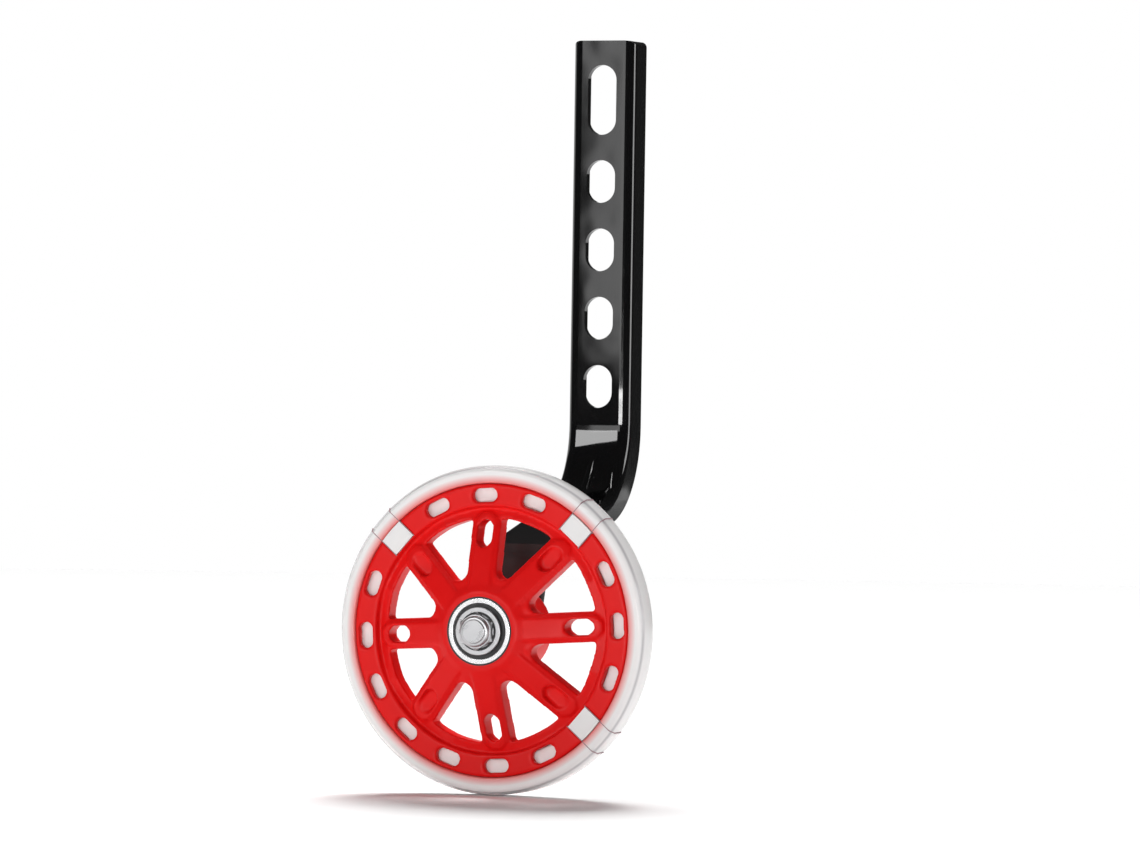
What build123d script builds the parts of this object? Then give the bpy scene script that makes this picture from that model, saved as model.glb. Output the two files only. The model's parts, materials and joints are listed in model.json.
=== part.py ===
"""A bicycle training wheel: a light-up wheel on ball bearings, carried by a slotted channel bracket.

Every piece is modelled in the frame of the wheel: the wheel's centre is the origin, X points right,
Y points up, and Z points out of the wheel's outer face along its axle. The finished pieces are then
stood on the ground, with the outer face towards -Y and Z up.
"""

import os
from math import atan2, cos, degrees, radians, sin, tan

from build123d import *

os.makedirs("parts", exist_ok=True)

# Tyre, clear, cast round the rim and into the space behind the rim's front plate
tyre_r = 55.0
tyre_width = 11.0
tyre_depth = 6.0
tread_width = 5.6
shoulder_drop = 1.4
wheel_turn = 3.5

# Moulded core: rim, a front plate on an inner wall
rim_depth = 7.6
rim_width = 10.6
rim_plate = 3.0
rim_wall = 1.3

# Moulded core: web, an eight-sided dish whose flats carry the spokes
web_thickness = 6.8
web_front_at_hub = 12.8
web_front_at_rim = 2.4
spoke_count = 8
spoke_width = 10.2
window_lip = 3.8
window_corner_r = 3.2
pad_width = 7.4
pad_height = 0.9
pad_inset = 1.6
pad_corner = 2.2
spoke_slot_count = 4
spoke_slot_width = 5.4
spoke_slot_length = 9.2
spoke_slot_corner = 1.8
spoke_slot_inset = 9.0
pocket_depth = 2.2

# Moulded core: slots through the rim's plate, with three places taken by the lights
rim_slot_count = 16
rim_slot_length = 8.6
rim_slot_width = 4.6
rim_slot_corner = 1.3

# Lights: clear hollow blocks in three of the rim's places, each closed at the back by a small board
light_places = {"upper_right": 2, "upper_left": 6, "lower_right": 14}
light_width = 9.2
light_inset = 0.5
light_gap = 0.05
light_wall = 1.4
board_thickness = 1.0
emitter_length = 2.8
emitter_width = 1.8
emitter_height = 1.2

# Hub and its two ball bearings
hub_r = 15.5
hub_front = 15.0
hub_back = -12.0
hub_bore_r = 9.0
bearing_r = 11.0
bearing_bore_r = 4.0
bearing_width = 7.0
inner_ring_r = 6.0
shield_r = 9.4
shield_recess = 0.4
shield_gap = 0.3
seat_gap = 0.02

# Axle hardware
bolt_r = 3.95
bolt_head_width = 13.0
bolt_head_height = 5.3
bolt_end = 0.5
nut_width = 11.0
nut_height = 3.6
washer_r = 8.0
washer_bore_r = 4.2
washer_thickness = 1.2
sleeve_r = 5.6
bush_length = 5.0

# Bracket, a pressed channel with its flanges turned to the back
sheet = 2.5
arm_width = 23.0
flange_depth = 12.6
arm_front = -90.0
arm_top = 202.0
arm_corner_r = 2.2
arm_end_corner_r = 2.0
leg_slope = 15.0
knee_height = 47.5
knee_r = 28.0
ankle_r = 9.0
flange_knee_r = 34.0
flange_end = 16.0
flange_end_r = 10.0
axle_hole_r = 4.2
dart_r = 2.4
dart_rise = 1.2
dart_length = 17.0

# Slots of the arm, from its top: a long one, then a row of four
long_slot_from_top = 20.6
long_slot_length = 24.2
slot_row_from_top = 48.9
slot_count = 4
slot_pitch = 23.7
slot_length = 14.8
slot_width = 10.5

# Places along the axle, worked out from the sizes above
tab_front = hub_back - bush_length
tab_back = tab_front - sheet
washer_front = hub_front + washer_thickness
nut_front = washer_front + nut_height
bolt_front = nut_front + bolt_end
flange_back = arm_front - flange_depth
depth_centre = (bolt_front + flange_back) / 2
through = 2 * (bolt_front - flange_back)

# Places on the wheel
rim_r = tyre_r - tyre_depth
rim_inner_r = rim_r - rim_depth
rim_slot_r = (rim_r + rim_inner_r) / 2
wall_r = rim_inner_r + rim_wall
plate_back = rim_width / 2 - rim_plate
window_outer_r = rim_inner_r - window_lip
pad_end_r = rim_inner_r - pad_inset
spoke_slot_r = rim_inner_r - spoke_slot_inset
light_floor_r = rim_inner_r + light_inset
half_step = 180 / spoke_count
rim_step = 360 / rim_slot_count
dish_taper = degrees(atan2(rim_inner_r - hub_r, web_front_at_hub - web_front_at_rim))
pocket_front = web_front_at_hub - (spoke_slot_r - hub_r) / tan(radians(dish_taper)) + pad_height
slot_places = [place for place in range(rim_slot_count) if place not in light_places.values()]
block_width = light_width - 2 * light_gap
block_inner_r = light_floor_r + light_gap
hollow_width = block_width - 2 * light_wall
hollow_height = rim_r - light_floor_r - 2 * light_wall
hollow_r = block_inner_r + light_wall + hollow_height / 2


def web_hull(rise):
    """The eight-sided dish that the web's front follows, raised by a distance along the axle."""
    with BuildPart() as hull:
        with BuildSketch(Plane.XY.offset(web_front_at_rim + rise)):
            RegularPolygon(rim_inner_r, spoke_count, major_radius=False, rotation=half_step)
        extrude(amount=web_front_at_hub - web_front_at_rim, taper=dish_taper)
        extrude(hull.faces().sort_by(Axis.Z)[0], amount=web_thickness)
    return hull.part


def rim_turn(place):
    """The angle of one of the rim's places, counted anticlockwise from the right."""
    return place * rim_step


def leg_height(depth, below):
    """Height of a line at a depth, parallel to the leg's upper surface and a distance below it."""
    return knee_height - (depth - arm_front) * tan(radians(leg_slope)) - below / cos(radians(leg_slope))


# One place that a light takes, from its floor to the rim's edge
with BuildSketch() as light_place:
    with Locations((light_floor_r, 0)):
        Rectangle(2 * rim_depth, light_width, align=(Align.MIN, Align.CENTER))
    Circle(rim_r, mode=Mode.INTERSECT)

# Tyre
with BuildPart() as tyre:
    with BuildSketch(Plane.XZ):
        with BuildLine():
            Polyline(
                (wall_r, -tyre_width / 2),
                (wall_r, plate_back),
                (rim_r, plate_back),
                (rim_r, tyre_width / 2),
                (tyre_r - shoulder_drop, tyre_width / 2),
                (tyre_r, tread_width / 2),
                (tyre_r, -tread_width / 2),
                (tyre_r - shoulder_drop, -tyre_width / 2),
                close=True,
            )
        make_face()
    revolve(axis=Axis.Z)
    with BuildSketch():
        for place in light_places.values():
            with PolarLocations(0, 1, start_angle=rim_turn(place)):
                add(light_place.sketch)
    extrude(amount=through, both=True, mode=Mode.SUBTRACT)

# One window between two spokes
with BuildSketch() as window:
    with BuildLine():
        apex = spoke_width / 2 / sin(radians(half_step))
        reach = 2 * window_outer_r
        Polyline(
            (apex, 0),
            (apex + reach * cos(radians(half_step)), reach * sin(radians(half_step))),
            (apex + reach * cos(radians(half_step)), -reach * sin(radians(half_step))),
            close=True,
        )
    make_face()
    fillet(window.vertices().sort_by(Axis.X)[0], window_corner_r)
    Circle(window_outer_r, mode=Mode.INTERSECT)

# One slot of the rim
with BuildSketch() as rim_slot:
    Rectangle(rim_slot_width, rim_slot_length)
    chamfer(rim_slot.vertices(), rim_slot_corner)

# One slot or pocket of a spoke
with BuildSketch() as spoke_slot:
    Rectangle(spoke_slot_length, spoke_slot_width)
    chamfer(spoke_slot.vertices(), spoke_slot_corner)

# One raised pad of a spoke
with BuildSketch() as pad:
    Rectangle(pad_end_r, pad_width, align=(Align.MIN, Align.CENTER))
    chamfer(pad.vertices().group_by(Axis.X)[-1], pad_corner)

# All the pads, following the dish
with BuildPart() as pads:
    add(web_hull(pad_height))
    with BuildSketch():
        with PolarLocations(0, spoke_count):
            add(pad.sketch)
    extrude(amount=through, both=True, mode=Mode.INTERSECT)

# Wheel core
with BuildPart() as wheel_core:
    add(web_hull(0))
    add(pads.part)
    add(web_hull(-web_thickness), mode=Mode.SUBTRACT)
    with BuildSketch():
        with PolarLocations(0, spoke_count, start_angle=half_step):
            add(window.sketch)
        with PolarLocations(spoke_slot_r, spoke_slot_count):
            add(spoke_slot.sketch)
        Circle(hub_bore_r)
    extrude(amount=through, both=True, mode=Mode.SUBTRACT)
    with BuildSketch(Plane.XY.offset(pocket_front - pocket_depth)):
        with PolarLocations(spoke_slot_r, spoke_slot_count, start_angle=2 * half_step):
            add(spoke_slot.sketch)
    extrude(amount=through, mode=Mode.SUBTRACT)
    with BuildSketch():
        Circle(rim_inner_r + rim_wall / 2)
    extrude(amount=through, both=True, mode=Mode.INTERSECT)
    with BuildSketch(Plane.XZ):
        with BuildLine():
            Polyline(
                (rim_inner_r, -rim_width / 2),
                (wall_r, -rim_width / 2),
                (wall_r, plate_back),
                (rim_r, plate_back),
                (rim_r, rim_width / 2),
                (rim_inner_r, rim_width / 2),
                close=True,
            )
        make_face()
        with Locations(((hub_bore_r + hub_r) / 2, (hub_front + hub_back) / 2)):
            Rectangle(hub_r - hub_bore_r, hub_front - hub_back)
    revolve(axis=Axis.Z)
    for seat_start in (hub_front - bearing_width, hub_back):
        with BuildSketch(Plane.XY.offset(seat_start)):
            Circle(bearing_r + seat_gap)
        extrude(amount=bearing_width, mode=Mode.SUBTRACT)
    with BuildSketch():
        for place in slot_places:
            with PolarLocations(rim_slot_r, 1, start_angle=rim_turn(place)):
                add(rim_slot.sketch)
        for place in light_places.values():
            with PolarLocations(0, 1, start_angle=rim_turn(place)):
                add(light_place.sketch)
    extrude(amount=through, both=True, mode=Mode.SUBTRACT)

# Light block, a segment of the rim's own section, hollow and open at the back
with BuildPart() as light_block:
    with BuildSketch():
        with Locations((block_inner_r, 0)):
            Rectangle(2 * rim_depth, block_width, align=(Align.MIN, Align.CENTER))
        Circle(rim_r - light_gap, mode=Mode.INTERSECT)
    extrude(amount=rim_width / 2, both=True)
    with BuildSketch(Plane.XY.offset(-rim_width / 2)):
        with Locations((hollow_r, 0)):
            Rectangle(hollow_height, hollow_width)
    extrude(amount=rim_width - light_wall, mode=Mode.SUBTRACT)

# Light board, which closes the back of its block
with BuildPart() as light_board:
    with BuildSketch(Plane.XY.offset(-rim_width / 2)):
        with Locations((hollow_r, 0)):
            Rectangle(hollow_height - 2 * light_gap, hollow_width - 2 * light_gap)
    extrude(amount=board_thickness)

# Light emitter, on the face of its board
with BuildPart() as light_emitter:
    with BuildSketch(Plane.XY.offset(board_thickness - rim_width / 2)):
        with Locations((hollow_r, 0)):
            Rectangle(emitter_width, emitter_length)
    extrude(amount=emitter_height)

# Bearing outer ring, closed by its shields, of which the outboard one is set back
with BuildPart() as outer_ring:
    with BuildSketch(Plane.XZ):
        with BuildLine():
            Polyline(
                (bearing_r, 0),
                (bearing_r, bearing_width),
                (shield_r, bearing_width),
                (shield_r, bearing_width - shield_recess),
                (inner_ring_r + shield_gap, bearing_width - shield_recess),
                (inner_ring_r + shield_gap, 0),
                close=True,
            )
        make_face()
    revolve(axis=Axis.Z)

# Bearing inner ring
with BuildPart() as inner_ring:
    with BuildSketch():
        Circle(inner_ring_r)
        Circle(bearing_bore_r, mode=Mode.SUBTRACT)
    extrude(amount=bearing_width)

# Sleeve that keeps the two inner rings apart
with BuildPart() as bearing_sleeve:
    with BuildSketch(Plane.XY.offset(hub_back + bearing_width)):
        Circle(sleeve_r)
        Circle(bearing_bore_r, mode=Mode.SUBTRACT)
    extrude(amount=hub_front - hub_back - 2 * bearing_width)

# Bush between the rear bearing and the bracket
with BuildPart() as rear_bush:
    with BuildSketch(Plane.XY.offset(tab_front)):
        Circle(inner_ring_r)
        Circle(bearing_bore_r, mode=Mode.SUBTRACT)
    extrude(amount=bush_length)

# Washer under the nut
with BuildPart() as front_washer:
    with BuildSketch(Plane.XY.offset(hub_front)):
        Circle(washer_r)
        Circle(washer_bore_r, mode=Mode.SUBTRACT)
    extrude(amount=washer_thickness)

# Lock nut
with BuildPart() as lock_nut:
    with BuildSketch(Plane.XY.offset(washer_front)):
        RegularPolygon(nut_width / 2, 6, major_radius=False)
        Circle(bearing_bore_r, mode=Mode.SUBTRACT)
    extrude(amount=nut_height)

# Axle bolt, with its head behind the bracket
with BuildPart() as axle_bolt:
    with BuildSketch(Plane.XY.offset(tab_back)):
        RegularPolygon(bolt_head_width / 2, 6, major_radius=False)
    extrude(amount=-bolt_head_height)
    with BuildSketch(Plane.XY.offset(tab_back)):
        Circle(bolt_r)
    extrude(amount=bolt_front - tab_back)

# Bracket
with BuildPart() as bracket:
    flange_tip = (leg_height(tab_front - flange_end, sheet), tab_front - flange_end)
    with BuildSketch(Plane.YZ):
        with BuildLine():
            web_line = FilletPolyline(
                (arm_top, arm_front),
                (knee_height, arm_front),
                (leg_height(tab_front, 0), tab_front),
                (-arm_width / 2, tab_front),
                radius=(knee_r, ankle_r),
            )
            back_line = FilletPolyline(
                (-arm_width / 2, tab_back),
                (leg_height(tab_back, sheet), tab_back),
                flange_tip,
                (leg_height(flange_back, flange_depth), flange_back),
                (arm_top, flange_back),
                radius=(ankle_r - sheet, flange_end_r, flange_knee_r),
            )
            Line(web_line @ 1, back_line @ 0)
            Line(back_line @ 1, web_line @ 0)
        make_face()
    extrude(amount=arm_width / 2, both=True)
    web_path = Plane.YZ.from_local_coords(web_line)
    front_edges = bracket.edges().filter_by(
        lambda edge: abs(web_path.distance_to(edge @ 0.5) - arm_width / 2) < sheet / 100
    )
    fillet(front_edges, arm_corner_r)
    with BuildSketch() as front_view:
        with Locations((0, arm_top / 2)):
            Rectangle(arm_width, arm_top)
        fillet(front_view.vertices().group_by(Axis.Y)[-1], arm_end_corner_r)
        Circle(arm_width / 2)
    extrude(amount=through, both=True, mode=Mode.INTERSECT)
    knee_turn = radians(90 - leg_slope)
    knee_centre = Vector(0, knee_height + knee_r * tan(knee_turn / 2), arm_front + knee_r)
    knee_out = (Vector(0, knee_height, arm_front) - knee_centre).normalized()
    dart_centre = knee_centre + knee_out * (knee_r - dart_rise + dart_r)
    with BuildSketch(Plane(dart_centre, x_dir=(1, 0, 0), z_dir=Vector(1, 0, 0).cross(knee_out))):
        Circle(dart_r)
    extrude(amount=dart_length / 2, both=True)
    with BuildSketch(Plane.YZ):
        with BuildLine():
            hollow_line = FilletPolyline(
                (arm_top + sheet, arm_front - sheet),
                (leg_height(arm_front - sheet, sheet), arm_front - sheet),
                flange_tip,
                radius=knee_r + sheet,
            )
            Polyline(
                hollow_line @ 1,
                (-arm_width, tab_front - flange_end),
                (-arm_width, flange_back - flange_depth),
                (arm_top + sheet, flange_back - flange_depth),
                hollow_line @ 0,
            )
        make_face()
    extrude(amount=arm_width / 2 - sheet, both=True, mode=Mode.SUBTRACT)
    with BuildSketch():
        with Locations((0, arm_top - long_slot_from_top)):
            SlotOverall(long_slot_length, slot_width, rotation=90)
        for place in range(slot_count):
            with Locations((0, arm_top - slot_row_from_top - place * slot_pitch)):
                SlotOverall(slot_length, slot_width, rotation=90)
        Circle(axle_hole_r)
    extrude(amount=through, both=True, mode=Mode.SUBTRACT)

# Where each bearing sits, with its set-back shield outboard
front_seat = Location((0, 0, hub_front - bearing_width))
rear_seat = Location((0, 0, hub_back + bearing_width), (180, 0, 0))

# How far the wheel is turned on its axle
rest = Location((0, 0, 0), (0, 0, wheel_turn))

pieces = {
    "bracket": bracket.part,
    "axle_bolt": axle_bolt.part,
    "rear_bush": rear_bush.part,
    "bearing_sleeve": bearing_sleeve.part,
    "front_washer": front_washer.part,
    "lock_nut": lock_nut.part,
    "wheel_core": wheel_core.part.moved(rest),
    "tyre": tyre.part.moved(rest),
}
for end, seat in (("front", front_seat), ("rear", rear_seat)):
    pieces[f"{end}_bearing_inner_ring"] = inner_ring.part.moved(seat)
    pieces[f"{end}_bearing_outer_ring"] = outer_ring.part.moved(seat)
for corner, place in light_places.items():
    turned = rest * Location((0, 0, 0), (0, 0, rim_turn(place)))
    pieces[f"{corner}_light_block"] = light_block.part.moved(turned)
    pieces[f"{corner}_light_board"] = light_board.part.moved(turned)
    pieces[f"{corner}_light_emitter"] = light_emitter.part.moved(turned)

# The pieces on the ground, each written as a node of its own
stance = Plane(origin=(0, depth_centre, tyre_r), x_dir=(1, 0, 0), z_dir=(0, -1, 0))
for name, piece in pieces.items():
    placed = piece.moved(stance.location)
    placed.label = name
    export_step(placed, f"parts/{name}.step")
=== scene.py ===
"""Dresses the training wheel for a studio picture.

Materials, softened edges and small trim come first, then the camera, the room and the lamps.
"""

import json
import math

import bmesh
import bpy
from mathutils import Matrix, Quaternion, Vector

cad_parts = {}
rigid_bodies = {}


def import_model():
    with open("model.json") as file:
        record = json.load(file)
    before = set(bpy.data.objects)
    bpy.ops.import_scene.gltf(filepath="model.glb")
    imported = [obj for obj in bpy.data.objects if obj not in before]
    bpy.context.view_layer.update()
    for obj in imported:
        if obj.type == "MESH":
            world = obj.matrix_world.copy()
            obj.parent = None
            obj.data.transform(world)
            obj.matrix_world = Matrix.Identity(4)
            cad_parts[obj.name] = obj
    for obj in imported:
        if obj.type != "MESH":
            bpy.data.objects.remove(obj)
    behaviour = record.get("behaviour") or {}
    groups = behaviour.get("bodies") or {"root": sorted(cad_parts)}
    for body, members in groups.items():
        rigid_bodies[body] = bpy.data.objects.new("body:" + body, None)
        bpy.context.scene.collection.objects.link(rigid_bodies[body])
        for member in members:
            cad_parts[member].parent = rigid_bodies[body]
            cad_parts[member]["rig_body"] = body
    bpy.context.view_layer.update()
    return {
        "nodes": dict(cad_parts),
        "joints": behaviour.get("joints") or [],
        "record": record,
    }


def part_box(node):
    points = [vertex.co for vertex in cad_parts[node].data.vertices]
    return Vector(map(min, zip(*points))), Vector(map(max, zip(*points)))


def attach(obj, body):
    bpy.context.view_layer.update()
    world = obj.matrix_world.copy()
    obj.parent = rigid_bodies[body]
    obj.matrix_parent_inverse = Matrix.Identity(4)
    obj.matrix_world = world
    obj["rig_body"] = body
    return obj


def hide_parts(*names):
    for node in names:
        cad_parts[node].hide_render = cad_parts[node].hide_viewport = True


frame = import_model()
MM = 0.001

# Places taken from the frame
AXLE = Vector(frame["joints"][0]["pos_m"])
TYRE_R = (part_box("tyre")[1].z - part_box("tyre")[0].z) / 2
TYRE_FACES = (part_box("tyre")[0].y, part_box("tyre")[1].y)
RIM_R = (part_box("wheel_core")[1].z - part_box("wheel_core")[0].z) / 2
HUB_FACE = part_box("wheel_core")[0].y
NUT_LOW, NUT_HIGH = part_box("lock_nut")
ARM_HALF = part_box("bracket")[1].x
LIGHTS = ("upper_right", "upper_left", "lower_right")

# Camera, fitted to the photograph's frame
FRAME_WIDTH_PX = 1140
FRAME_HEIGHT_PX = 855
WHEEL_CENTRE_PX = (496, 630)
FRAME_WIDTH = 381 * MM
CAMERA_DISTANCE = 2.2
AZIMUTH = math.radians(21.5)
ELEVATION = math.radians(0.3)
ROLL = math.radians(0.9)
SENSOR = 36.0

# Floor and backdrop, in metres, with the backdrop's ends as view azimuths in degrees
FLOOR_HALF = 6.0
FLOOR_DROP = 0.0002
BACKDROP_R = 2.6
BACKDROP_ENDS = (181, 262)
BACKDROP_HEIGHTS = (-0.3, 0.65)
BACKDROP_STEPS = 24

# Colours
RED = (0.75, 0.008, 0.008, 1)
BLACK = (0.003, 0.003, 0.0033, 1)
STEEL = (0.80, 0.80, 0.81, 1)
ZINC = (0.45, 0.45, 0.46, 1)
# Black of the bearing's seal, also used for the rings of painted shade round the bearing and the
# nut
SEAL = (0.012, 0.012, 0.013, 1)
MILKY = (0.97, 0.955, 0.95, 1)
BOARD = (0.80, 0.80, 0.78, 1)
BOARD_PRINT = (0.55, 0.56, 0.55, 1)
EMITTER = (0.95, 0.92, 0.74, 1)
SEAM = (0.33, 0.20, 0.22, 1)
WHITE = (1, 1, 1, 1)
NO_COLOR = (0, 0, 0, 1)

# The tyre's colours by radius in millimetres: a painted glow of the rim's red near the rim, and a
# painted grey line of shade near the tread
PAINTED_GLOW_AND_EDGE_COLORS = (
    (48.7, MILKY),
    (48.9, (0.86, 0.10, 0.09, 1)),
    (50.1, (0.93, 0.42, 0.41, 1)),
    (52.0, MILKY),
    (53.8, MILKY),
    (54.25, (0.58, 0.56, 0.58, 1)),
    (54.7, MILKY),
)

# Finishes: the spans of a noise that are used, turned rings, and the milky plastic's index
NOISE_SPAN = (0.3, 0.7)
PRINT_SPAN = (0.45, 0.55)
RINGS_A_METRE = 9000
MILKY_IOR = 1.35

# Black paint: dust low down behind the wheel, and where the dart's pressing has drawn the web in
DUST_HEIGHTS = (AXLE.z + 34 * MM, AXLE.z + 44 * MM)
DUST_ROUGHNESS = 0.6
DRAWN_HALF = 8.8 * MM
DRAWN_HEIGHTS = (AXLE.z + 45 * MM, AXLE.z + 57 * MM, AXLE.z + 66.5 * MM)
DRAWN_DEPTH = 0.55 * MM

# Bracket: the web's front is straight down the arm, round the knee and along the leg
ARM_FRONT = AXLE.y + 90.0 * MM
KNEE_R = 28.0 * MM
KNEE_HEIGHT = AXLE.z + 47.5 * MM
LEG_SLOPE = math.radians(15.0)
KNEE_TURN = math.pi / 2 - LEG_SLOPE
KNEE_CENTRE = Vector((0, ARM_FRONT - KNEE_R, KNEE_HEIGHT + KNEE_R * math.tan(KNEE_TURN / 2)))
LEG_TAPER = 20.0 * MM
CAD_CORNER_R = 2.2 * MM
ARM_CORNER_R = 4.0 * MM
CORNER_TOLERANCE = 0.03 * MM

# Bracket: the tab narrows towards the axle, outside its core
TAB_FACES = (AXLE.y + 16.9 * MM, AXLE.y + 19.6 * MM)
TAB_CORE = 6.0 * MM
TAB_TOP = 26.0 * MM
TAB_TAPER = 0.62

# Moulded core: the hub's lip, the fillet up to it by radius and depth in millimetres, and the melt
HUB_R = 15.5 * MM
HUB_TOLERANCE = 0.05 * MM
HUB_FACE_DEPTH = 0.1 * MM
HUB_LIP_R = 13.2 * MM
HUB_FILLET = (
    (12.6, 0.15),
    (13.3, 0.28),
    (14.2, 0.75),
    (15.2, 1.45),
    (16.4, 2.3),
    (17.5, 3.0),
    (18.2, 3.6),
)
HUB_FILLET_BACK = 5.0 * MM
MELT_VOXEL = 0.5 * MM
MELT_FACTOR = 0.5
MELT_PASSES = 6
MELT_SHARE = 0.6

# Tyre: how far it stands off the rim's faces
PLATE_BACK = AXLE.y - 2.3 * MM
RIM_TOLERANCE = 0.2 * MM
TYRE_CLEARANCE = 0.12 * MM

# Softened edges: bevel widths, and the angles that count as a sharp edge and as flat
CAST_EDGE = 0.8 * MM
PRESSED_EDGE = 0.35 * MM
TURNED_EDGE = 0.25 * MM
BOLT_EDGE = 0.45 * MM
BEVEL_ANGLE = math.radians(28)
FLAT_ANGLE = math.radians(0.6)
FLAT_WEIGHT = 80
WELD = 1e-6

# Lock nut: shares of its height and of the radius of its flats
NUT_BORE_R = 4.0 * MM
NUT_BODY_SHARE = 0.62
NUT_TURNED_SHARE = 1.02
NUT_COLLAR_SHARE = 0.94
NUT_CHAMFER = 0.5
NUT_CORNER = 0.8 * MM
NUT_CORNER_STEPS = 6

# Bearing seal, and the painted shade: dark rings in the gaps where bearing and nut meet their
# neighbours
RING_POINTS = 96
RING_DEPTH = 0.3 * MM
SEAL_R = 9.45 * MM
SEAL_FACING = 0.9
BEARING_R = 11.0 * MM
GROOVE_R = 11.5 * MM
GROOVE_SET_BACK = 0.02 * MM
NUT_GROOVE_R = (5.7 * MM, 6.5 * MM)
NUT_GROOVE_PROUD = 0.04 * MM

# Seams of the lights, down the rim's face and round the tyre's section
LIGHT_WIDTH = 9.2 * MM
LIGHT_LENGTH = 7.6 * MM
SEAM_WIDTH = 0.28 * MM
SEAM_PROUD = 0.04 * MM
SEAM_START = 0.3 * MM
RIM_LINE_DEPTH = 0.2 * MM
TREAD_HALF = 2.8 * MM
SHOULDER_DROP = 1.4 * MM


def new_material(name, color, roughness, metallic=0.0):
    """A material with a Principled shader, and the shader and its tree."""
    material = bpy.data.materials.new(name)
    material.use_nodes = True
    tree = material.node_tree
    shader = tree.nodes["Principled BSDF"]
    shader.inputs["Base Color"].default_value = color
    shader.inputs["Roughness"].default_value = roughness
    shader.inputs["Metallic"].default_value = metallic
    return material, shader, tree


def object_noise(tree, scale, detail=3.0):
    """Noise fixed to the object, with its scale in waves a metre."""
    coords = tree.nodes.new("ShaderNodeTexCoord")
    noise = tree.nodes.new("ShaderNodeTexNoise")
    noise.inputs["Scale"].default_value = scale
    noise.inputs["Detail"].default_value = detail
    tree.links.new(coords.outputs["Object"], noise.inputs["Vector"])
    return noise.outputs["Fac"]


def ramp(tree, value, low, high, start, end, eased=False):
    """A value moved from low..high to start..end, held at the ends and eased into them if asked."""
    node = tree.nodes.new("ShaderNodeMapRange")
    node.interpolation_type = "SMOOTHSTEP" if eased else "LINEAR"
    sockets = ("From Min", "From Max", "To Min", "To Max")
    for socket, number in zip(sockets, (low, high, start, end)):
        node.inputs[socket].default_value = number
    tree.links.new(value, node.inputs["Value"])
    return node.outputs["Result"]


def uneven(tree, scale, low, high, detail=3.0):
    """A value that wanders between low and high over the object."""
    return ramp(tree, object_noise(tree, scale, detail), *NOISE_SPAN, low, high)


def combine(tree, operation, first, second):
    """Two values combined into one."""
    node = tree.nodes.new("ShaderNodeMath")
    node.operation = operation
    tree.links.new(first, node.inputs[0])
    tree.links.new(second, node.inputs[1])
    return node.outputs["Value"]


def vector_math(tree, operation, vector, other=(0, 0, 0)):
    """A node that changes a vector by a fixed one."""
    node = tree.nodes.new("ShaderNodeVectorMath")
    node.operation = operation
    node.inputs[1].default_value = other
    tree.links.new(vector, node.inputs[0])
    return node


def mix_colors(tree, factor, first, second):
    """A colour between two, by a factor."""
    mix = tree.nodes.new("ShaderNodeMix")
    mix.data_type = "RGBA"
    mix.inputs["A"].default_value = first
    mix.inputs["B"].default_value = second
    tree.links.new(factor, mix.inputs["Factor"])
    return mix.outputs["Result"]


def add_bump(tree, shader, height, strength, distance):
    """Fine relief on a shader, on top of any that it has."""
    bump = tree.nodes.new("ShaderNodeBump")
    for link in shader.inputs["Normal"].links:
        tree.links.new(link.from_socket, bump.inputs["Normal"])
    bump.inputs["Strength"].default_value = strength
    bump.inputs["Distance"].default_value = distance
    tree.links.new(height, bump.inputs["Height"])
    tree.links.new(bump.outputs["Normal"], shader.inputs["Normal"])


def axle_radius(tree):
    """The distance of a surface's point from the axle's line."""
    coords = tree.nodes.new("ShaderNodeTexCoord")
    offset = vector_math(tree, "SUBTRACT", coords.outputs["Object"], AXLE)
    flat = vector_math(tree, "MULTIPLY", offset.outputs["Vector"], (1, 0, 1))
    return vector_math(tree, "LENGTH", flat.outputs["Vector"]).outputs["Value"]


def red_plastic():
    """Glossy moulded plastic with a slight unevenness in its sheen."""
    material, shader, tree = new_material("red_moulded_plastic", RED, roughness=0.35)
    shader.inputs["Specular IOR Level"].default_value = 0.14
    tree.links.new(uneven(tree, 90, low=0.3, high=0.42), shader.inputs["Roughness"])
    grain = object_noise(tree, 1400, detail=2.0)
    add_bump(tree, shader, grain, strength=0.12, distance=0.05 * MM)
    return material


def knee_draw(tree, place):
    """1 where the web stands as bent, down to 0 where it is drawn in at the knee."""
    low, middle, high = DRAWN_HEIGHTS
    across = ramp(tree, place.outputs["X"], -DRAWN_HALF, DRAWN_HALF, 1.0, 0.0)
    rising = ramp(tree, place.outputs["Z"], low, middle, 0.0, 1.0, eased=True)
    falling = ramp(tree, place.outputs["Z"], middle, high, 1.0, 0.0, eased=True)
    drawn = combine(tree, "MULTIPLY", combine(tree, "MULTIPLY", across, rising), falling)
    return ramp(tree, drawn, 0.0, 1.0, 1.0, 0.0)


def black_paint():
    """Gloss paint over pressed steel, slightly wavy, dulled by dust low down behind the wheel."""
    material, shader, tree = new_material("black_gloss_paint", BLACK, roughness=0.08)
    coords = tree.nodes.new("ShaderNodeTexCoord")
    place = tree.nodes.new("ShaderNodeSeparateXYZ")
    tree.links.new(coords.outputs["Object"], place.inputs["Vector"])
    gloss = uneven(tree, 60, low=0.045, high=0.07)
    dust = ramp(tree, place.outputs["Z"], *DUST_HEIGHTS, DUST_ROUGHNESS, 0.0)
    tree.links.new(combine(tree, "MAXIMUM", gloss, dust), shader.inputs["Roughness"])
    waves = object_noise(tree, 65, detail=1.0)
    add_bump(tree, shader, waves, strength=0.3, distance=0.30 * MM)
    add_bump(tree, shader, knee_draw(tree, place), strength=1.0, distance=DRAWN_DEPTH)
    return material


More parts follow.
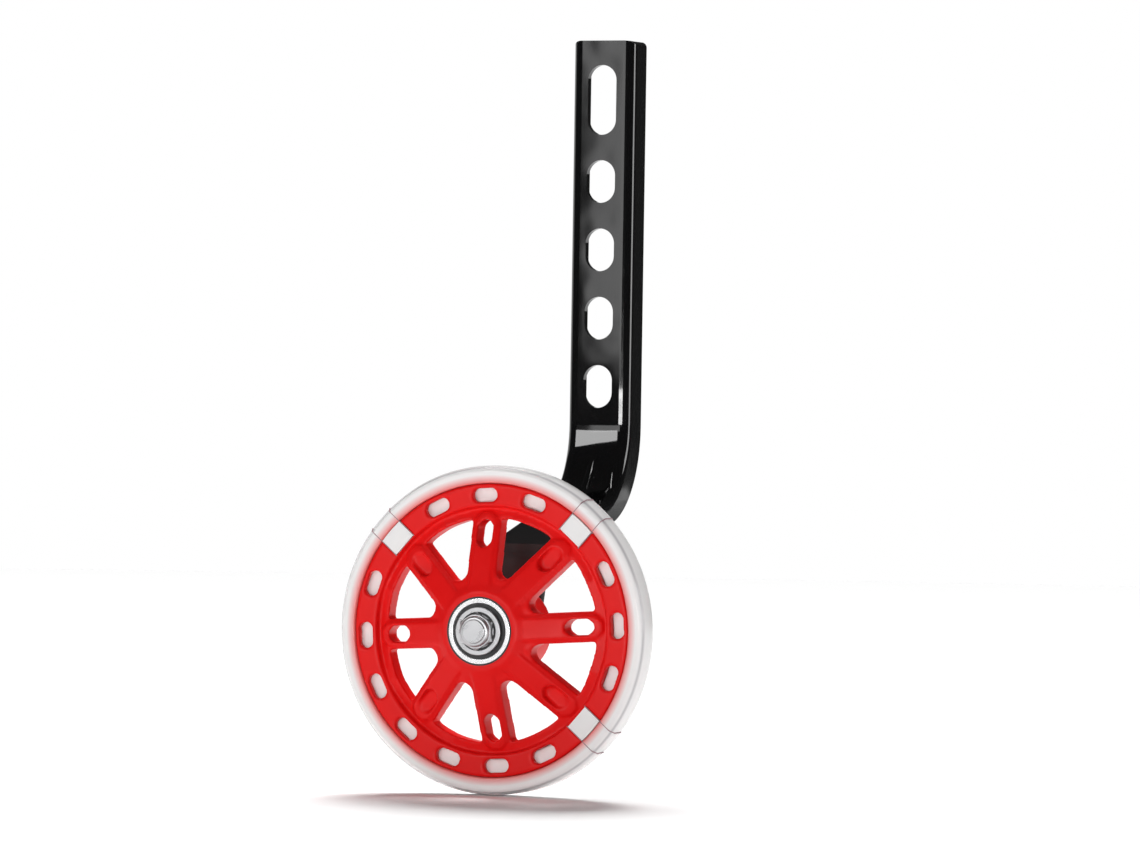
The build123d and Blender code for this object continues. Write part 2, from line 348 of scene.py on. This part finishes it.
def turned_steel(name, color, roughness):
    """Bright steel with the fine rings that turning leaves."""
    material, shader, tree = new_material(name, color, roughness, metallic=1.0)
    rings = tree.nodes.new("ShaderNodeTexNoise")
    rings.noise_dimensions = "1D"
    rings.inputs["Scale"].default_value = RINGS_A_METRE
    tree.links.new(axle_radius(tree), rings.inputs["W"])
    add_bump(tree, shader, rings.outputs["Fac"], strength=0.15, distance=0.02 * MM)
    wear = uneven(tree, 300, low=roughness * 0.8, high=roughness * 1.3)
    tree.links.new(wear, shader.inputs["Roughness"])
    return material


def milky_plastic(name, roughness, transmission):
    """Clear plastic, a little milky, inside which light spreads a few millimetres."""
    material, shader, tree = new_material(name, MILKY, roughness)
    shader.inputs["Transmission Weight"].default_value = transmission
    shader.inputs["IOR"].default_value = MILKY_IOR
    shader.inputs["Subsurface Weight"].default_value = 0.2
    shader.inputs["Subsurface Radius"].default_value = (1.0, 0.9, 0.9)
    shader.inputs["Subsurface Scale"].default_value = 4.0 * MM
    return material, shader, tree


def clear_tyre():
    """Milky clear cast plastic, with a painted glow of the rim's red close to the rim's edge and a
    painted grey line of shade near the tread.
    """
    material, shader, tree = milky_plastic("clear_tyre", roughness=0.14, transmission=0.12)
    # Painted light by radius: the rim's red glow, and a grey line of shade at the edge
    painted_glow = tree.nodes.new("ShaderNodeValToRGB")
    steps = painted_glow.color_ramp.elements
    while len(steps) < len(PAINTED_GLOW_AND_EDGE_COLORS):
        steps.new(0.5)
    low, high = PAINTED_GLOW_AND_EDGE_COLORS[0][0], PAINTED_GLOW_AND_EDGE_COLORS[-1][0]
    for step, (radius, color) in zip(steps, PAINTED_GLOW_AND_EDGE_COLORS):
        step.position = (radius - low) / (high - low)
        step.color = color
    place = ramp(tree, axle_radius(tree), low * MM, high * MM, 0.0, 1.0)
    tree.links.new(place, painted_glow.inputs["Fac"])
    tree.links.new(painted_glow.outputs["Color"], shader.inputs["Base Color"])
    waves = object_noise(tree, 120, detail=2.0)
    add_bump(tree, shader, waves, strength=0.06, distance=0.2 * MM)
    return material


def light_plastic():
    """Milky clear plastic of the light blocks, with an uneven polish."""
    material, shader, tree = milky_plastic("clear_light_block", roughness=0.12, transmission=0.1)
    tree.links.new(uneven(tree, 400, low=0.08, high=0.2), shader.inputs["Roughness"])
    return material


def plain_material(name, color, roughness):
    """The finish of a small part, whose sheen varies a little."""
    material, shader, tree = new_material(name, color, roughness)
    sheen = uneven(tree, 900, low=roughness * 0.8, high=roughness * 1.2, detail=1.0)
    tree.links.new(sheen, shader.inputs["Roughness"])
    return material


def board_material():
    """Pale circuit board with faint printed shapes."""
    material, shader, tree = new_material("light_board", BOARD, roughness=0.5)
    shade = ramp(tree, object_noise(tree, 700, detail=1.0), *PRINT_SPAN, 0.0, 1.0)
    tree.links.new(mix_colors(tree, shade, BOARD, BOARD_PRINT), shader.inputs["Base Color"])
    return material


MATERIALS = {
    "black_painted_steel": black_paint(),
    "zinc_plated_steel": turned_steel("zinc_plated_steel", ZINC, roughness=0.30),
    "bearing_steel": turned_steel("bearing_steel", STEEL, roughness=0.20),
    "red_plastic": red_plastic(),
    "clear_tyre": clear_tyre(),
    "clear_plastic": light_plastic(),
    "light_board": board_material(),
    "light_emitter": plain_material("light_emitter", EMITTER, roughness=0.2),
}
# The seal's black material, also used for the rings of painted shade in the gaps
SEAL_AND_PAINTED_SHADE = plain_material("bearing_seal_and_shade", SEAL, roughness=0.5)
SEAM_PLASTIC = plain_material("light_seam", SEAM, roughness=0.5)
SLOT_OF = {row["node"]: row["material_slot"] for row in frame["record"]["subparts"]}


def give_material(piece, material):
    """One material for the whole piece."""
    piece.data.materials.clear()
    piece.data.materials.append(material)


def stand_for(piece, node):
    """Puts a piece in a node's place, on its body and with its finish."""
    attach(piece, frame["nodes"][node]["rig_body"])
    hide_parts(node)
    give_material(piece, MATERIALS[SLOT_OF[node]])


def add_object(name, data):
    """A new object in the scene."""
    thing = bpy.data.objects.new(name, data)
    bpy.context.scene.collection.objects.link(thing)
    return thing


def open_node(node):
    """A copy of a node's mesh, and the copy opened for editing with its points welded."""
    mesh = frame["nodes"][node].data.copy()
    mesh.name = node + "_dressed"
    work = bmesh.new()
    work.from_mesh(mesh)
    bmesh.ops.remove_doubles(work, verts=work.verts, dist=WELD)
    return mesh, work


def close_piece(name, mesh, work):
    """A new object in the scene with the mesh that was edited."""
    work.to_mesh(mesh)
    work.free()
    return add_object(name, mesh)


def from_axle(point):
    """The distance of a point from the axle's line."""
    return math.hypot(point.x - AXLE.x, point.z - AXLE.z)


def share_of(part, whole):
    """How much of a whole a part is, between 0 and 1."""
    return min(1.0, max(0.0, part / whole))


def ring_round_axle(radius, depth):
    """Points round the axle at a depth; the radius is a number, or a function of the angle."""
    ring = []
    for i in range(RING_POINTS):
        turn = 2 * math.pi * i / RING_POINTS
        reach = radius(turn) if callable(radius) else radius
        ring.append(
            Vector((AXLE.x + reach * math.cos(turn), depth, AXLE.z + reach * math.sin(turn)))
        )
    return ring


def band(work, first, second):
    """The faces between two closed loops of points."""
    return [
        work.faces.new((first[i - 1], first[i], second[i], second[i - 1]))
        for i in range(len(first))
    ]


def join_rings(work, rings):
    """A closed surface through rings of points, the last of them joined to the first."""
    loops = [[work.verts.new(point) for point in ring] for ring in rings]
    faces = []
    for loop, after in zip(loops, loops[1:] + loops[:1]):
        faces += band(work, loop, after)
    bmesh.ops.recalc_face_normals(work, faces=faces)


def surface_of_rings(name, rings):
    """A piece with a closed surface through rings of points."""
    work = bmesh.new()
    join_rings(work, rings)
    piece = close_piece(name, bpy.data.meshes.new(name), work)
    piece.data.shade_smooth()
    piece.data.set_sharp_from_angle(angle=BEVEL_ANGLE)
    return piece


def hub_lip(place):
    """A point of the core, with the rim of the hub's face drawn in to a lip round the bearing."""
    radius = from_axle(place)
    on_rim = abs(radius - HUB_R) < HUB_TOLERANCE
    if on_rim and place.y < HUB_FACE + HUB_FACE_DEPTH:
        share = HUB_LIP_R / radius
        across, above = (place.x - AXLE.x) * share, (place.z - AXLE.z) * share
        return Vector((AXLE.x + across, place.y, AXLE.z + above))
    return place


def clear_of_rim(place):
    """A point of the tyre, moved off the rim's faces that it touches."""
    outward = Vector((place.x - AXLE.x, 0, place.z - AXLE.z))
    radius = outward.length
    outward.normalize()
    if radius < RIM_R + RIM_TOLERANCE:
        place = place + outward * TYRE_CLEARANCE
        if abs(place.y - PLATE_BACK) < RIM_TOLERANCE:
            place.y += TYRE_CLEARANCE
    return place


def web_depth(place):
    """A point's depth behind the web's front, which way that is, and the corner's new radius."""
    behind = Vector((0, 1, 0))
    below = Vector((0, math.sin(LEG_SLOPE), -math.cos(LEG_SLOPE)))
    down_leg = Vector((0, -math.cos(LEG_SLOPE), -math.sin(LEG_SLOPE)))
    from_knee = Vector((0, place.y - KNEE_CENTRE.y, place.z - KNEE_CENTRE.z))
    if from_knee.z >= 0:
        return from_knee.y - KNEE_R, behind, ARM_CORNER_R
    if math.atan2(-from_knee.z, from_knee.y) <= KNEE_TURN:
        return from_knee.length - KNEE_R, from_knee.normalized(), ARM_CORNER_R
    share = share_of(from_knee.dot(down_leg), LEG_TAPER)
    radius = ARM_CORNER_R + share * (CAD_CORNER_R - ARM_CORNER_R)
    return from_knee.dot(below) - KNEE_R, below, radius


def narrow_tab(place):
    """A point of the bracket's tab, drawn in to a taper towards the axle."""
    share = share_of(AXLE.z + TAB_TOP - place.z, TAB_TOP)
    across = TAB_CORE + (abs(place.x) - TAB_CORE) * (1 - TAB_TAPER * share)
    return Vector((math.copysign(across, place.x), place.y, place.z))


def round_channel(place):
    """A point of the bracket, with the channel's front corners rounder and the tab narrower."""
    if TAB_FACES[0] < place.y < TAB_FACES[1] and abs(place.x) > TAB_CORE:
        return narrow_tab(place)
    depth, inward, radius = web_depth(place)
    side = abs(place.x) - (ARM_HALF - CAD_CORNER_R)
    in_corner = -CORNER_TOLERANCE < depth < CAD_CORNER_R + CORNER_TOLERANCE
    if side < -CORNER_TOLERANCE or not in_corner:
        return place
    turn = math.atan2(max(0.0, side), max(0.0, CAD_CORNER_R - depth))
    across = ARM_HALF - radius + radius * math.sin(turn)
    place = place + inward * (radius - radius * math.cos(turn) - depth)
    place.x = math.copysign(across, place.x)
    return place


def soften(node, width, segments=3, reshape=None):
    """A copy of a node with its sharp edges rounded, and its points moved first if asked."""
    mesh, work = open_node(node)
    bmesh.ops.dissolve_limit(work, angle_limit=FLAT_ANGLE, verts=work.verts, edges=work.edges)
    if reshape:
        for vert in work.verts:
            vert.co = reshape(vert.co)
    piece = close_piece(node + "_dressed", mesh, work)
    mesh.shade_smooth()
    bevel = piece.modifiers.new("edges", "BEVEL")
    bevel.width = width
    bevel.segments = segments
    bevel.limit_method = "ANGLE"
    bevel.angle_limit = BEVEL_ANGLE
    flats = piece.modifiers.new("flats", "WEIGHTED_NORMAL")
    flats.weight = FLAT_WEIGHT
    stand_for(piece, node)
    return piece


def moulded_core():
    """The core as a moulding: a fillet runs up to the hub's lip, and edges are a little melted."""
    mesh, work = open_node("wheel_core")
    for vert in work.verts:
        vert.co = hub_lip(vert.co)
    rings = [ring_round_axle(radius * MM, HUB_FACE + drop * MM) for radius, drop in HUB_FILLET]
    for radius, _ in (HUB_FILLET[-1], HUB_FILLET[0]):
        rings.append(ring_round_axle(radius * MM, HUB_FACE + HUB_FILLET_BACK))
    join_rings(work, rings)
    piece = close_piece("wheel_core_dressed", mesh, work)
    melt = piece.modifiers.new("melt", "REMESH")
    melt.mode = "VOXEL"
    melt.voxel_size = MELT_VOXEL
    melt.use_smooth_shade = True
    smooth = piece.modifiers.new("smooth", "SMOOTH")
    smooth.factor = MELT_FACTOR
    smooth.iterations = MELT_PASSES
    thin = piece.modifiers.new("thin", "DECIMATE")
    thin.ratio = MELT_SHARE
    stand_for(piece, "wheel_core")


def add_seal(ring):
    """Black rubber on the set-back part of a bearing's face."""
    ring.data.materials.append(SEAL_AND_PAINTED_SHADE)
    for face in ring.data.polygons:
        reach = max(from_axle(ring.data.vertices[i].co) for i in face.vertices)
        if reach < SEAL_R and abs(face.normal.y) > SEAL_FACING:
            face.material_index = 1


def crowned_nut():
    """The lock nut: a six-sided body with its corners turned off, and a rounded collar in front."""
    flat_r = (NUT_HIGH.z - NUT_LOW.z) / 2
    collar_r = flat_r * NUT_COLLAR_SHARE
    back, front = NUT_HIGH.y, NUT_LOW.y
    body_front = back + NUT_BODY_SHARE * (front - back)

    def corner_r(turn):
        return flat_r / math.cos((turn + math.pi / 6) % (math.pi / 3) - math.pi / 6)

    def turned_off(turn):
        return min(corner_r(turn), flat_r * NUT_TURNED_SHARE)

    chamfer = ring_round_axle(corner_r, body_front)
    for point in chamfer:
        point.y += NUT_CHAMFER * max(0.0, from_axle(point) - flat_r)
    rings = [
        ring_round_axle(NUT_BORE_R, back),
        ring_round_axle(corner_r, back),
        chamfer,
        ring_round_axle(turned_off, body_front),
        ring_round_axle(collar_r, body_front),
    ]
    for step in range(1, NUT_CORNER_STEPS + 1):
        turn_in = math.pi / 2 * step / NUT_CORNER_STEPS
        radius = collar_r - NUT_CORNER * (1 - math.cos(turn_in))
        depth = front + NUT_CORNER * (1 - math.sin(turn_in))
        rings.append(ring_round_axle(radius, depth))
    rings.append(ring_round_axle(NUT_BORE_R, front))
    return surface_of_rings("lock_nut_dressed", rings)


def painted_shade_ring(name, inner_r, outer_r, front, body, slot):
    """A thin dark ring round the axle: painted shade in the gap where two pieces meet."""
    back = front + RING_DEPTH
    section = ((inner_r, front), (outer_r, front), (outer_r, back), (inner_r, back))
    ring = surface_of_rings(name, [ring_round_axle(radius, depth) for radius, depth in section])
    give_material(ring, SEAL_AND_PAINTED_SHADE)
    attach(ring, body)


def light_seams(corner):
    """The dark lines of a light's two sides, down the rim's face and round the tyre's section."""
    low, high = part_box(f"{corner}_light_block")
    centre = (low + high) / 2 - AXLE
    turn = math.atan2(centre.z, centre.x)
    outward = Vector((math.cos(turn), 0, math.sin(turn)))
    sideways = Vector((-math.sin(turn), 0, math.cos(turn)))
    front, back = TYRE_FACES[0] - SEAM_PROUD, TYRE_FACES[1] + SEAM_PROUD
    middle = (front + back) / 2
    tread_r = TYRE_R + SEAM_PROUD
    shoulder_r = tread_r - SHOULDER_DROP
    inner_r = RIM_R + SEAM_START
    block_r = centre.length - LIGHT_LENGTH / 2
    line_front, line_back = low.y - SEAM_PROUD, low.y + RIM_LINE_DEPTH
    section = (
        (inner_r, front),
        (shoulder_r, front),
        (tread_r, middle - TREAD_HALF),
        (tread_r, middle + TREAD_HALF),
        (shoulder_r, back),
        (inner_r, back),
    )
    rim_line = (
        (block_r, line_front),
        (inner_r, line_front),
        (inner_r, line_back),
        (block_r, line_back),
    )
    work = bmesh.new()
    for side in (-1, 1):
        for outline in (section, rim_line):
            sheets = []
            for offset in (-SEAM_WIDTH / 2, SEAM_WIDTH / 2):
                across = AXLE + sideways * (side * LIGHT_WIDTH / 2 + offset)
                points = [across + outward * r + Vector((0, y - AXLE.y, 0)) for r, y in outline]
                sheets.append([work.verts.new(point) for point in points])
            faces = [work.faces.new(sheet) for sheet in sheets]
            faces += band(work, *sheets)
            bmesh.ops.recalc_face_normals(work, faces=faces)
    name = f"{corner}_light_seams"
    seams = close_piece(name, bpy.data.meshes.new(name), work)
    give_material(seams, SEAM_PLASTIC)
    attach(seams, "wheel")


def around(azimuth, distance, height):
    """A place round the object, by the view azimuth that it is seen at."""
    turn = math.radians(azimuth)
    return (distance * math.sin(turn), -distance * math.cos(turn), height)


def grey(level):
    """A grey between black and white."""
    return (level, level, level, 1)


def make_camera():
    """A long-lens camera at the photograph's angle, with the wheel where the photograph has it."""
    back = Vector(
        (
            math.sin(AZIMUTH) * math.cos(ELEVATION),
            -math.cos(AZIMUTH) * math.cos(ELEVATION),
            math.sin(ELEVATION),
        )
    )
    turn = (-back).to_track_quat("-Z", "Y") @ Quaternion((0, 0, 1), ROLL)
    right, up = turn @ Vector((1, 0, 0)), turn @ Vector((0, 1, 0))
    pixel = FRAME_WIDTH / FRAME_WIDTH_PX
    across = (FRAME_WIDTH_PX / 2 - WHEEL_CENTRE_PX[0]) * pixel
    above = (WHEEL_CENTRE_PX[1] - FRAME_HEIGHT_PX / 2) * pixel
    target = AXLE + right * across + up * above
    data = bpy.data.cameras.new("camera")
    data.sensor_width = SENSOR
    data.lens = SENSOR * CAMERA_DISTANCE / FRAME_WIDTH
    camera = add_object("camera", data)
    camera.location = target + back * CAMERA_DISTANCE
    camera.rotation_mode = "QUATERNION"
    camera.rotation_quaternion = turn
    bpy.context.scene.camera = camera


def seen_rays(tree):
    """1 for the rays that see the plain background: the camera's, and those of gloss and glass."""
    path = tree.nodes.new("ShaderNodeLightPath")
    seen = path.outputs["Is Camera Ray"]
    for kind in ("Is Glossy Ray", "Is Transmission Ray"):
        seen = combine(tree, "MAXIMUM", seen, path.outputs[kind])
    return seen


def make_world(level):
    """A dim room, the same for every ray."""
    world = bpy.data.worlds.new("studio")
    bpy.context.scene.world = world
    world.use_nodes = True
    surround = world.node_tree.nodes["Background"]
    surround.inputs["Color"].default_value = WHITE
    surround.inputs["Strength"].default_value = level


def make_backdrop():
    """A curved white wall behind the object, as far as the photograph's frame needs it."""
    start, end = BACKDROP_ENDS
    work = bmesh.new()
    pairs = []
    for step in range(BACKDROP_STEPS + 1):
        azimuth = start + (end - start) * step / BACKDROP_STEPS
        places = [around(azimuth, BACKDROP_R, height) for height in BACKDROP_HEIGHTS]
        pairs.append([work.verts.new(place) for place in places])
    for pair, after in zip(pairs, pairs[1:]):
        work.faces.new((pair[0], after[0], after[1], pair[1]))
    wall = close_piece("backdrop", bpy.data.meshes.new("backdrop"), work)
    wall.visible_shadow = False
    material, shader, tree = new_material("white_backdrop", NO_COLOR, roughness=1.0)
    shader.inputs["Specular IOR Level"].default_value = 0.0
    shader.inputs["Emission Color"].default_value = WHITE
    tree.links.new(seen_rays(tree), shader.inputs["Emission Strength"])
    give_material(wall, material)


def make_floor(shown, lit):
    """A wide floor that shows white where nothing shades it, and returns a little less light."""
    work = bmesh.new()
    bmesh.ops.create_grid(work, x_segments=1, y_segments=1, size=FLOOR_HALF)
    floor = close_piece("floor", bpy.data.meshes.new("floor"), work)
    floor.location = (0, 0, -FLOOR_DROP)
    material, shader, tree = new_material("pale_floor", grey(lit), roughness=1.0)
    shader.inputs["Specular IOR Level"].default_value = 0.0
    color = mix_colors(tree, seen_rays(tree), grey(lit), grey(shown))
    tree.links.new(color, shader.inputs["Base Color"])
    give_material(floor, material)


def add_lamp(data, direction):
    """A lamp that shines in a direction."""
    lamp = add_object(data.name, data)
    lamp.rotation_mode = "QUATERNION"
    lamp.rotation_quaternion = direction.to_track_quat("-Z", "Y")
    return lamp


def make_sun(strength, spread, direction):
    """A soft light from above and behind that draws the floor's shadow and isn't mirrored."""
    data = bpy.data.lights.new("overhead", "SUN")
    data.energy = strength
    data.angle = spread
    lamp = add_lamp(data, Vector(direction))
    lamp.visible_glossy = False


def make_area(name, place, target, size, power):
    """A soft lamp aimed at a point."""
    data = bpy.data.lights.new(name, "AREA")
    data.shape = "RECTANGLE"
    data.size, data.size_y = size
    data.energy = power
    lamp = add_lamp(data, Vector(target) - Vector(place))
    lamp.location = place


for name, node in frame["nodes"].items():
    give_material(node, MATERIALS[SLOT_OF[name]])

soften("bracket", PRESSED_EDGE, reshape=round_channel)
moulded_core()
soften("axle_bolt", BOLT_EDGE)
for name in ("rear_bush", "front_washer"):
    soften(name, TURNED_EDGE)
stand_for(crowned_nut(), "lock_nut")
# Painted shade: black rings in the gap round the bearing and at the foot of the nut
groove_front = HUB_FACE + GROOVE_SET_BACK
painted_shade_ring("bearing_groove_shade", BEARING_R, GROOVE_R, groove_front, "wheel", "bearing_steel")
groove_front = NUT_HIGH.y - NUT_GROOVE_PROUD
painted_shade_ring("nut_foot_shade", *NUT_GROOVE_R, groove_front, "bracket", "zinc_plated_steel")
for end in ("front", "rear"):
    soften(f"{end}_bearing_inner_ring", TURNED_EDGE)
    add_seal(soften(f"{end}_bearing_outer_ring", TURNED_EDGE))
for corner in LIGHTS:
    soften(f"{corner}_light_block", TURNED_EDGE)
    light_seams(corner)
soften("tyre", CAST_EDGE, segments=4, reshape=clear_of_rim)

make_camera()
make_world(level=0.05)
make_backdrop()
make_floor(shown=1.0, lit=0.88)
make_sun(strength=4.15, spread=math.radians(28), direction=(0.32, -0.88, -0.98))

# Lamps that show in the gloss: on the knee, the web and its right edge, low down, and from above
make_area("knee_box", around(-21.5, 1.9, 0.62), target=(0, 0, 0.12), size=(0.4, 0.45), power=5.4)
make_area("web_box", around(-7.3, 1.5, 0.27), target=(0, 0, 0.2), size=(0.8, 0.22), power=1.5)
make_area("edge_box", around(109, 1.5, 0.36), target=(0, 0, 0.15), size=(0.45, 0.6), power=5.0)
make_area("low_strip", around(12, 2.5, 0.065), target=(0, 0, 0.05), size=(1.7, 0.12), power=17.0)
make_area("top", (0.1, -0.1, 1.4), target=(0, 0, 0), size=(0.9, 0.07), power=2.2)
bpy.context.scene.view_settings.view_transform = "Standard"
